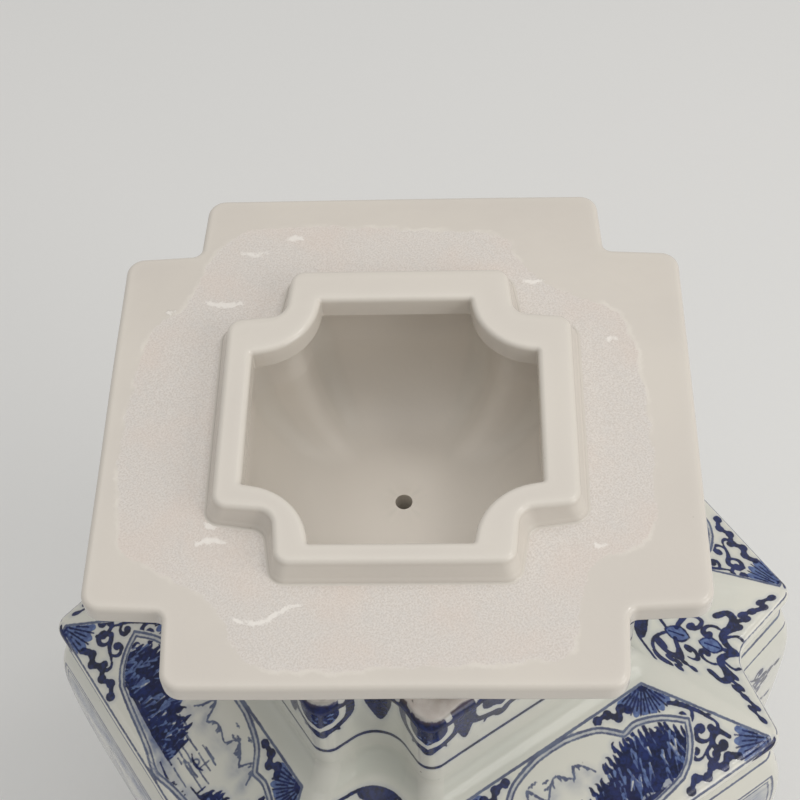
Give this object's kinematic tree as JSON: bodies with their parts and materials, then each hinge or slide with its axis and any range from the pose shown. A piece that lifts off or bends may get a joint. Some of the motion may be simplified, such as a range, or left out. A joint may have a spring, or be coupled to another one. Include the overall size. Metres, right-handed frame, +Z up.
{
  "type": "square ginger jar",
  "caption": "Square blue-and-white porcelain storage jar with notched corners; its hat-shaped lid lies upside down in the mouth.",
  "frame": {"origin": "centre of the foot, on the surface that the jar stands on", "axes": "+Z up along the jar's axis; +X and +Y square to two of its flat sides, -Y being the front"},
  "size_m": [0.184, 0.184, 0.2979],
  "materials": {
    "painted_glaze": "glossy clear glaze over cobalt-blue painting",
    "lid_porcelain": "glossy clear glaze, wiped off and matt round the collar",
    "bare_porcelain": "unglazed, matt"
  },
  "bodies": {
    "jar": {"foot_ring": "bare_porcelain", "base_slab": "painted_glaze", "wall_front": "painted_glaze", "wall_right": "painted_glaze", "wall_back": "painted_glaze", "wall_left": "painted_glaze", "wall_front_right": "painted_glaze", "wall_back_right": "painted_glaze", "wall_back_left": "painted_glaze", "wall_front_left": "painted_glaze", "shoulder_front": "painted_glaze", "shoulder_right": "painted_glaze", "shoulder_back": "painted_glaze", "shoulder_left": "painted_glaze", "shoulder_front_right": "painted_glaze", "shoulder_back_right": "painted_glaze", "shoulder_back_left": "painted_glaze", "shoulder_front_left": "painted_glaze", "neck": "painted_glaze"},
    "lid": {"lid_brim": "lid_porcelain", "lid_collar": "lid_porcelain", "lid_dome": "lid_porcelain", "finial_stem": "lid_porcelain", "finial_bud": "lid_porcelain"}
  },
  "joints": [
    {"name": "lid_lift", "type": "slide", "parent": "jar", "child": "lid", "axis": [0, 0, 1], "range_m": [0, 0.12]}
  ]
}
